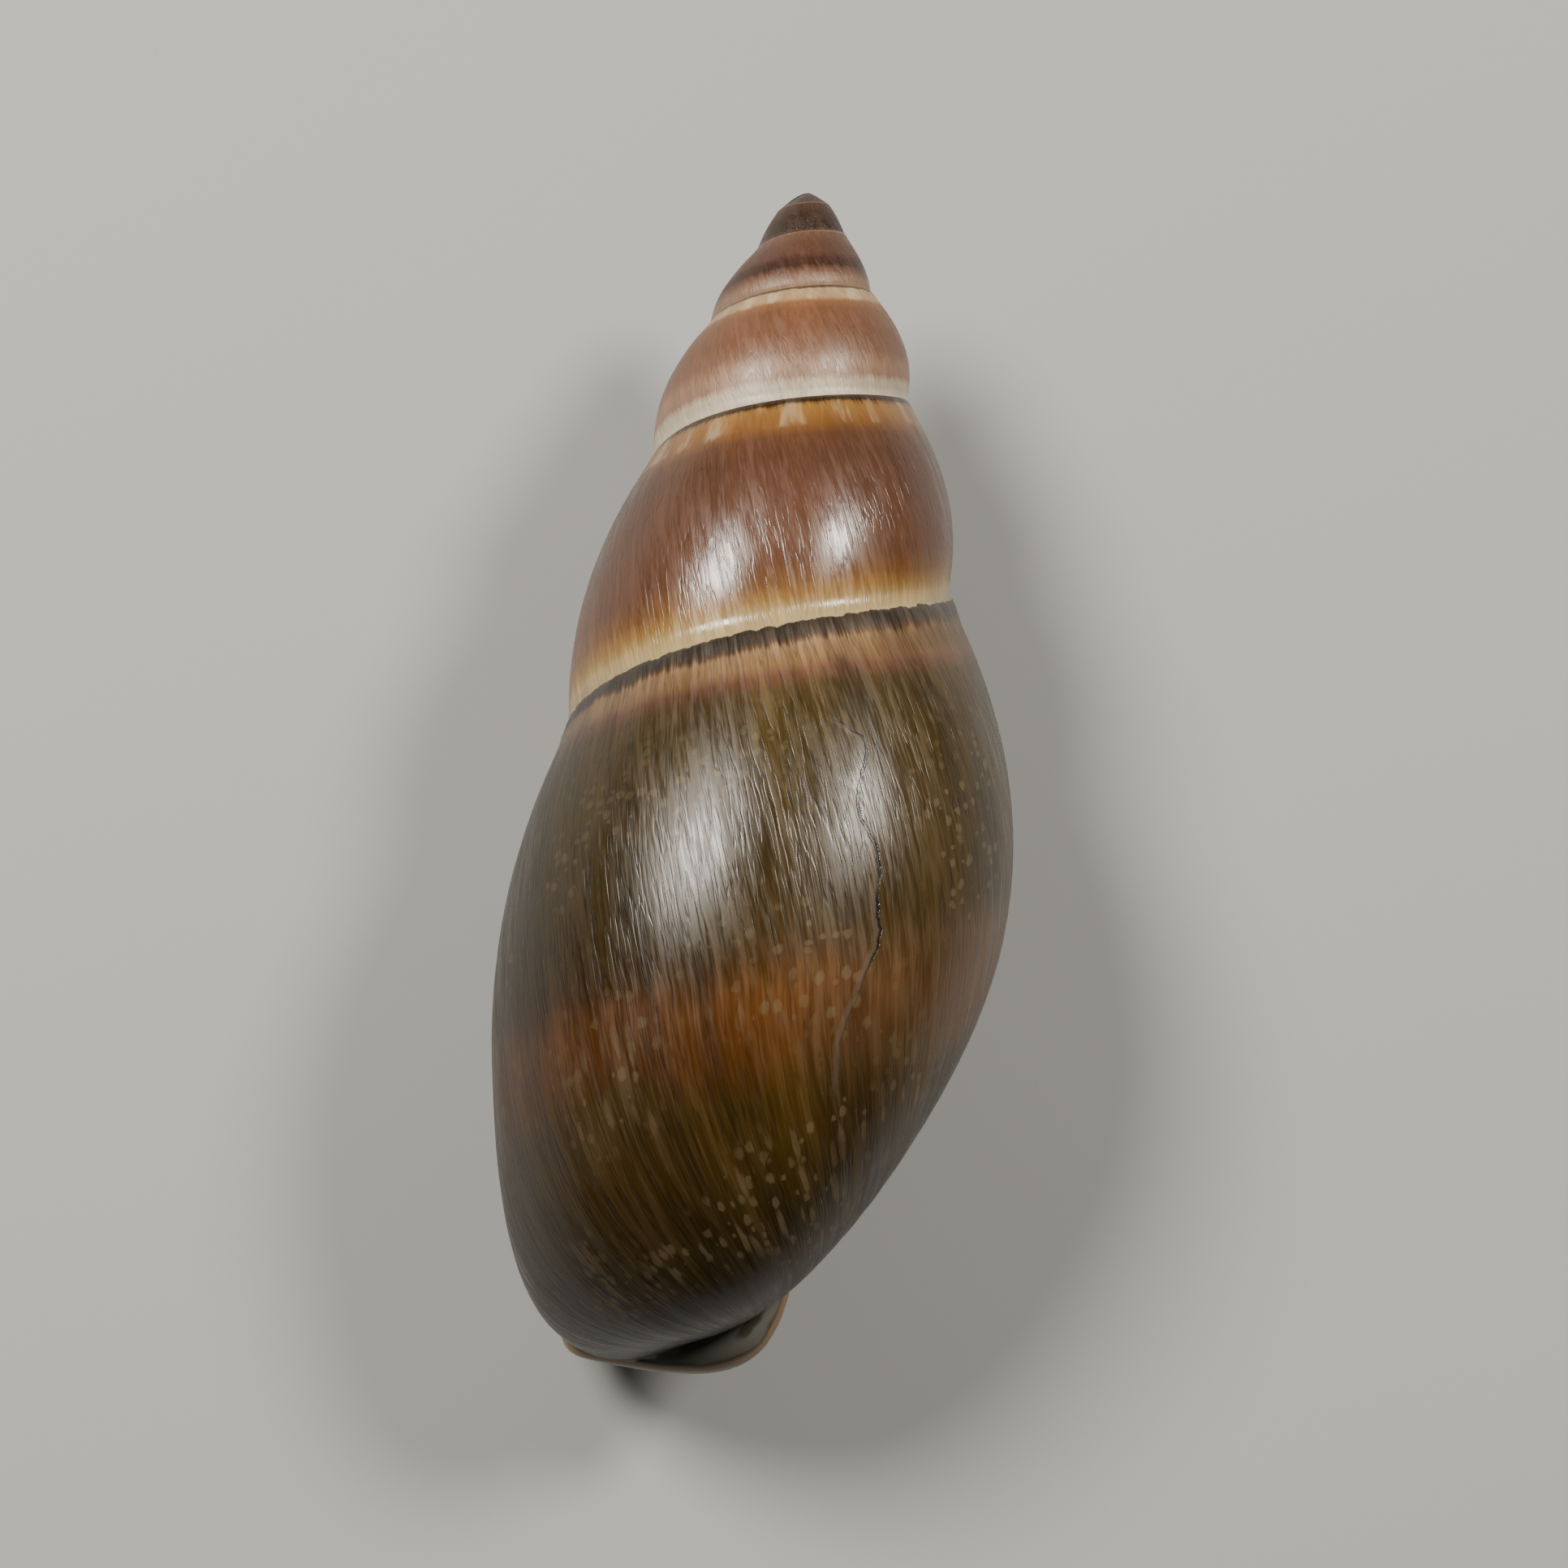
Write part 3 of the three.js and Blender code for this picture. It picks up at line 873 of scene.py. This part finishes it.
tip_band = ramp(frayed, [
    (0.0, (120, 92, 70)), (0.06, (74, 52, 37)), (0.5, (58, 40, 30)), (0.9, (54, 37, 27)),
    (1.0, (80, 60, 45)),
])
upper_band = ramp(frayed, [
    (0.0, (174, 143, 118)), (0.05, (106, 74, 55)), (0.25, (92, 60, 44)), (0.48, (88, 57, 41)),
    (0.58, (68, 40, 28)), (0.68, (64, 37, 25)), (0.78, (108, 78, 60)), (0.9, (148, 118, 96)),
    (1.0, (142, 111, 90)),
])
middle_band = ramp(frayed, [
    (0.0, (100, 68, 42)), (0.02, (176, 146, 108)), (0.14, (180, 147, 110)), (0.19, (140, 94, 58)),
    (0.27, (122, 81, 56)), (0.5, (119, 81, 59)), (0.66, (130, 93, 72)), (0.76, (156, 122, 98)),
    (0.85, (156, 122, 99)), (0.9, (200, 182, 156)), (1.0, (212, 198, 174)),
])
lower_band = ramp(frayed, [
    (0.0, (70, 48, 28)), (0.03, (96, 64, 34)), (0.06, (148, 108, 60)), (0.13, (136, 93, 51)),
    (0.22, (98, 65, 45)), (0.32, (90, 60, 44)), (0.6, (100, 68, 52)), (0.78, (104, 70, 50)),
    (0.86, (124, 87, 53)), (0.91, (158, 119, 70)), (0.95, (186, 157, 107)), (1.0, (186, 163, 120)),
])
body_band = ramp(blotchy / 2, [
    (0.0, (62, 54, 46)), (0.03, (70, 59, 49)), (0.038, (92, 68, 48)), (0.046, (152, 121, 88)),
    (0.074, (136, 105, 74)), (0.094, (106, 74, 56)), (0.118, (80, 62, 36)), (0.16, (70, 55, 25)),
    (0.45, (64, 48, 18)), (0.485, (72, 48, 18)), (0.52, (96, 60, 26)), (0.565, (88, 54, 22)),
    (0.605, (74, 54, 20)), (0.75, (55, 41, 13)), (1.0, (50, 40, 16)),
])
bands = blend(tip_band, upper_band, smooth(turn, *TO_UPPER))
bands = blend(bands, middle_band, smooth(turn, *TO_MIDDLE))
bands = blend(bands, lower_band, smooth(turn, *TO_LOWER))
on_body = smooth(turn, *TO_BODY)
faded = window(across, 0.1, 0.14, 0.06) * (1 - smooth(turn, 5.82, 6.02))
bands = blend(bands, blend(body_band, tone(84, 62, 36), faded * 0.8), on_body)
print("bands:", len(skin.node_tree.nodes), "nodes so far")

# %% [markdown]
# ## Streaks, flecks and old damage
# Over the bands lie streaks along the growth lines, cream blotches in the band below each suture of the
# spire, pale flecks where the skin of the last whorl is worn, a net of hair cracks, and the dark line of
# the healed break with its pale flap. Painted shade darkens the last whorl towards its left side.

# %% Skin: streaks and flecks
WHORL_HEIGHT = 22.0


def speckles(place, scale, amount, seed):
    """Round flecks in some of the cells of a Voronoi pattern, each of its own size."""
    node = place.tree.nodes.new("ShaderNodeTexVoronoi")
    node.voronoi_dimensions = "2D"
    plug(place, node.inputs["Vector"])
    node.inputs["Scale"].default_value = scale
    size = smooth(parts(Field(node.outputs["Color"]))[0], 1 - amount, 1.0)
    uneven = Field(node.outputs["Distance"]) + (noise(place, 3.0, 2.0, 0.6, seed) - 0.5) * 0.5
    return (1 - smooth(uneven, size * 0.25, size * 0.5 + 0.02)) * smooth(size, 0.05, 0.3)


streak_depth = 0.25 + 0.4 * smooth(turn, 5.0, 5.5)
streaked = blend(bands, grey((fine - 0.5) * 0.75 * streak_depth + 1.0), 1.0, "MULTIPLY")
streaked = blend(streaked, grey((broad - 0.5) * 0.7 * streak_depth + 1.0), 1.0, "MULTIPLY")
streaked = blend(streaked, grey(1 - crease * 0.45 * streak_depth), 1.0, "MULTIPLY")
under_suture = window(frayed, 0.03, 0.15, 0.03) * smooth(turn, 3.3, 3.5) * (1 - on_body)
blotch = smooth(noise(vector(arc * 0.5, across * 2.0, 4.0), 1.0, 3.0, 0.6, 8.0), 0.48, 0.64) * under_suture
streaked = blend(streaked, tone(206, 184, 148), blotch * (0.7 - 0.3 * smooth(turn, 4.3, 4.6)))
streaked = blend(streaked, grey((clouds - 0.5) * 0.9 * on_body + 1.0), 1.0, "MULTIPLY")
worn = smooth(clouds, 0.4, 0.62) * on_body * smooth(across, 0.15, 0.6)
dots = speckles(vector(arc, across * WHORL_HEIGHT, 0.0), 1.3, 0.6, 10.0)
leaning_arc = arc_length(turn + LINE_LEAN * across)
dashes = speckles(vector(leaning_arc, across * WHORL_HEIGHT * 0.35, 2.0), 1.2, 0.55, 16.0)
flecks = maths("MAXIMUM", dots, dashes * smooth(across, 0.7, 1.2)) * worn
streaked = blend(streaked, tone(118, 102, 74), flecks * 0.5)
# Painted shade: the last whorl is a little brighter on its front and right, and darker towards its left side.
painted_left_shade = smooth(turn, 5.95, 6.25)
streaked = blend(streaked, grey(1 + on_body * (0.08 - 0.58 * painted_left_shade)), 1.0, "MULTIPLY")
bleached = window(across, 0.96, 1.16, 0.12) * (1 - smooth(turn, 5.88, 6.04)) * on_body
streaked = blend(streaked, tone(106, 82, 56), bleached * (0.35 + 0.5 * fine))

print("streaks and flecks:", len(skin.node_tree.nodes), "nodes so far")

# %% [markdown]
# ## Cracks and edges
# The break is a dark split that gapes here and there, with a pale edge on the side that grew on. Under
# the suture of the last whorl the skin is torn off in a ragged line, and painted shade darkens the left rim
# next to the lip.
# The gloss follows the growth lines, so that a sheen breaks up into streaks.

# %% Skin: cracks and the healed break
lead = turn - scar_turn(across)
in_scar = smooth(across, 0.34, 0.38) * (1 - smooth(across, 1.2, 1.31)) * on_body
open_places = smooth(noise(vector(across * 9.0, 0.0, 4.0), 1.0, 2.0, 0.6, 17.0), 0.3, 0.5)
gape = open_places * (1 - 0.7 * smooth(across, 0.9, 1.1))
split = window(lead, -0.0012, 0.0003, 0.0006) * in_scar * gape
flap_edge = window(lead, 0.001, 0.003, 0.003) * in_scar
net_node = skin.node_tree.nodes.new("ShaderNodeTexVoronoi")
net_node.feature = "DISTANCE_TO_EDGE"
net_node.voronoi_dimensions = "2D"
plug(vector(arc, across * WHORL_HEIGHT, 0.0), net_node.inputs["Vector"])
net_node.inputs["Scale"].default_value = 1.4
net_reach = window(turn, 6.03, 6.08, 0.05) * window(across, 0.45, 0.65, 0.2) * smooth(clouds, 0.35, 0.55)
net = (1 - smooth(Field(net_node.outputs["Distance"]), 0.0, 0.06)) * net_reach
damaged = blend(streaked, tone(112, 98, 84), flap_edge * 0.4)
damaged = blend(damaged, tone(26, 20, 14), maths("MAXIMUM", split * 0.95, net * 0.14))
jag = noise(vector(arc * 0.7, 0.0, 2.0), 1.0, 4.0, 0.65, 14.0)
torn = on_body * (1 - smooth(across, jag * 0.07 - 0.024, jag * 0.07 - 0.018))
damaged = blend(damaged, tone(182, 162, 122), torn)
suture_line = (1 - smooth(across, jag * 0.06, jag * 0.06 + 0.015)) * smooth(turn, 2.6, 3.4) * (1 - on_body)
damaged = blend(damaged, tone(40, 29, 20), suture_line * 0.8)
# Painted shade on the left rim of the last whorl and under it, next to the lip.
painted_rim_shade = smooth(turn, 6.2, 6.36)
damaged = blend(damaged, tone(40, 38, 24), painted_rim_shade * 0.6)
plug(damaged, skin_shader.inputs["Base Color"])
dull = 0.14 * (1 - smooth(turn, 4.3, 4.6))
gloss = 0.28 + dull + 0.03 * on_body + (fine - 0.5) * 0.22 + worn * 0.06
plug(gloss, skin_shader.inputs["Roughness"])
skin_height = line_height - split * 0.8
plug(bump(skin_height), skin_shader.inputs["Normal"])
skin_shader.inputs["IOR"].default_value = 1.5
print("skin:", len(skin.node_tree.nodes), "nodes")

# %% [markdown]
# ## The glaze
# Inside the mouth the snail polishes its lime to a bluish white. The roll of the lip is the same lime,
# but the dark skin laps over its upper side and leaves only a pale band, tan at the very edge. On the
# roll the `coil` map holds other values: the way along the roll, and how far its surface faces up.

# %% Glaze
glaze, glaze_shader, turn, across, place = start_material("snail_glaze")
fine, _, _, line_height = use_group(lines_group, Turn=turn, Across=across)
kind = glaze.node_tree.nodes.new("ShaderNodeAttribute")
kind.attribute_name = "glazed"
is_roll = smooth(Field(kind.outputs["Fac"]), 1.4, 1.6)
cloud = noise(place, 420.0, 3.0, 0.55, 12.0)
inside_colour = ramp(cloud * 0.7 + fine * 0.3, [
    (0.3, (150, 143, 142)), (0.5, (172, 166, 162)), (0.7, (190, 184, 176)),
])
along, facing_up = turn, across
pale_up_to = 0.5 + 0.42 * smooth(along, 0.5, 0.6) + (cloud - 0.5) * 0.12
lime_colour = ramp(facing_up + (cloud - 0.5) * 0.3, [
    (0.0, (160, 152, 142)), (0.3, (146, 116, 76)), (0.55, (140, 110, 72)), (0.66, (84, 73, 57)),
    (0.74, (122, 119, 108)), (1.0, (132, 130, 120)),
])
grain = noise(vector(along * 14.0, facing_up * 5.0, 0.0), 1.0, 3.0, 0.6, 13.0)
lap_colour = ramp(grain, [(0.3, (52, 50, 38)), (0.5, (70, 69, 54)), (0.7, (92, 90, 72))])
roll_colour = blend(lime_colour, lap_colour, smooth(facing_up, pale_up_to, pale_up_to + 0.05))
plug(blend(inside_colour, roll_colour, is_roll), glaze_shader.inputs["Base Color"])
plug(0.22 + 0.2 * cloud, glaze_shader.inputs["Roughness"])
plug(bump(line_height * (1 - is_roll) + cloud * 0.5), glaze_shader.inputs["Normal"])
print("glaze:", len(glaze.node_tree.nodes), "nodes")

# %% [markdown]
# ## From nodes to a plain mesh
# The modifier's inputs are set by their identifiers. The result is copied into a plain mesh, laid down on
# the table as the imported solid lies, and turned from millimetres into metres.

# %% Grow the shell
modifier = shell.modifiers.new("coil", "NODES")
modifier.node_group = coil_tree
sockets = [item for item in coil_tree.interface.items_tree if item.in_out == "INPUT"]
identifiers = {socket.name: socket.identifier for socket in sockets}
for label, value in SIZES.items():
    modifier[identifiers[label]] = value
modifier[identifiers["Skin"]] = skin
modifier[identifiers["Glaze"]] = glaze
depsgraph = bpy.context.evaluated_depsgraph_get()
grown_mesh = bpy.data.meshes.new_from_object(
    shell.evaluated_get(depsgraph), preserve_all_data_layers=True, depsgraph=depsgraph
)
shell.modifiers.clear()
shell.data = grown_mesh
bpy.data.meshes.remove(seed_mesh)
grown_mesh.name = "snail_shell"

REST_ASIDE = (0.99323237, 0.0, -0.11614411)
REST_AHEAD = (-0.00673338, 0.99831807, -0.05758203)
TIP_AT = (0.43637, 36.9925, 15.80484)
MM = 0.001
rest = Matrix((REST_ASIDE, REST_AHEAD, REST_UP)).to_4x4()
rest.translation = TIP_AT
rest = Matrix.Diagonal((MM, MM, MM, 1.0)) @ rest
grown_mesh.transform(rest)
for vertex in grown_mesh.vertices:
    vertex.co.z = max(vertex.co.z, 0.0)
grown_mesh.update()
triangles = sum(len(polygon.vertices) - 2 for polygon in grown_mesh.polygons)
print("shell:", len(grown_mesh.vertices), "points,", triangles, "triangles")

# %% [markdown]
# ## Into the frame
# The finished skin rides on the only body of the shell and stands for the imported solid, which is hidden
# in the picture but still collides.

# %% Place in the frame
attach(shell, "root")
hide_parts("shell")
print("riding on the root body:", shell.name)

# %% [markdown]
# ## A table to lie on
# A plain pale table shows how the shell rests. It is matt, so that it gives the shell no sharp
# reflections.

# %% Floor
HALF = 1.5
TABLE_COLOUR, TABLE_ROUGHNESS = (0.32, 0.32, 0.313, 1.0), 0.9
floor_mesh = bpy.data.meshes.new("floor")
corners = [(-HALF, -HALF, 0), (HALF, -HALF, 0), (HALF, HALF, 0), (-HALF, HALF, 0)]
floor_mesh.from_pydata(corners, [], [(0, 1, 2, 3)])
floor = bpy.data.objects.new("floor", floor_mesh)
bpy.context.scene.collection.objects.link(floor)
table = bpy.data.materials.new("table")
table.use_nodes = True
table_shader = table.node_tree.nodes["Principled BSDF"]
table_shader.inputs["Base Color"].default_value = TABLE_COLOUR
table_shader.inputs["Roughness"].default_value = TABLE_ROUGHNESS
floor_mesh.materials.append(table)
print("floor:", 2 * HALF, "m square")

# %% [markdown]
# ## The camera
# The photograph looks down on the back of the shell, along a line that leans a little from the coil's own
# axes. So the view is written in the coil's frame, as a tilt towards the tip and a lean to the side, and
# then laid down with the shell.

# %% Camera
TILT, LEAN = 0.1641, 0.0652
# The eye in mm from the tip: right, up and back. The half width of the picture, at a distance, in mm
EYE_RIGHT, EYE_UP, EYE_BACK = -1.55, -37.27, 266.04
HALF_WIDTH, AT_DISTANCE = 48.3, 260
coil_right = Vector((math.cos(LEAN), math.sin(LEAN) * math.cos(TILT), math.sin(LEAN) * math.sin(TILT)))
coil_up = Vector((-math.sin(LEAN), math.cos(LEAN) * math.cos(TILT), math.cos(LEAN) * math.sin(TILT)))
coil_back = Vector((0, -math.sin(TILT), math.cos(TILT)))
turned = Matrix((REST_ASIDE, REST_AHEAD, REST_UP))
eye = rest @ (EYE_RIGHT * coil_right + EYE_UP * coil_up + EYE_BACK * coil_back)
right, up, back = (turned @ axis for axis in (coil_right, coil_up, coil_back))
camera_data = bpy.data.cameras.new("camera")
camera = bpy.data.objects.new("camera", camera_data)
bpy.context.scene.collection.objects.link(camera)
camera.matrix_world = Matrix.Translation(eye) @ Matrix((right, up, back)).transposed().to_4x4()
camera_data.sensor_fit = "HORIZONTAL"
camera_data.angle = 2 * math.atan(HALF_WIDTH / AT_DISTANCE)
camera_data.clip_start, camera_data.clip_end = 0.01, 10.0
bpy.context.scene.camera = camera
print("camera at mm:", [round(1000 * x, 1) for x in eye])

# %% [markdown]
# ## Soft lights
# The skin shows two sheens, a broad one left of the middle and a narrower one to the right. A glossy
# surface shows a light where its normal points halfway between the light and the eye, so the place of
# each sheen gives the direction of a lamp. Both lamps are warm disks, large enough to look soft.
# Directions are given as seen by the camera: right, up and back.

# %% Lights
LAMP_COLOUR, LAMP_DISTANCE = (1.0, 0.96, 0.89), 0.45
SKY_COLOUR, SKY_STRENGTH = (0.8, 0.85, 0.9, 1.0), 0.03
middle = (cad_low + cad_high) / 2


def soft_light(name, direction, size, watts):
    data = bpy.data.lights.new(name, "AREA")
    data.shape = "DISK"
    data.size = size
    data.energy = watts
    data.color = LAMP_COLOUR
    lamp = bpy.data.objects.new(name, data)
    bpy.context.scene.collection.objects.link(lamp)
    toward = (direction[0] * right + direction[1] * up + direction[2] * back).normalized()
    lamp.location = middle + LAMP_DISTANCE * toward
    lamp.rotation_mode = "QUATERNION"
    lamp.rotation_quaternion = toward.to_track_quat("Z", "Y")


soft_light("left_light", (-0.465, 0.5, 0.73), size=0.16, watts=3.5)
soft_light("right_light", (0.62, 0.49, 0.62), size=0.12, watts=2.2)
world = bpy.data.worlds.new("studio")
world.use_nodes = True
sky = world.node_tree.nodes["Background"]
sky.inputs["Color"].default_value = SKY_COLOUR
sky.inputs["Strength"].default_value = SKY_STRENGTH
bpy.context.scene.world = world
print("two soft lights,", LAMP_DISTANCE, "m from the shell")
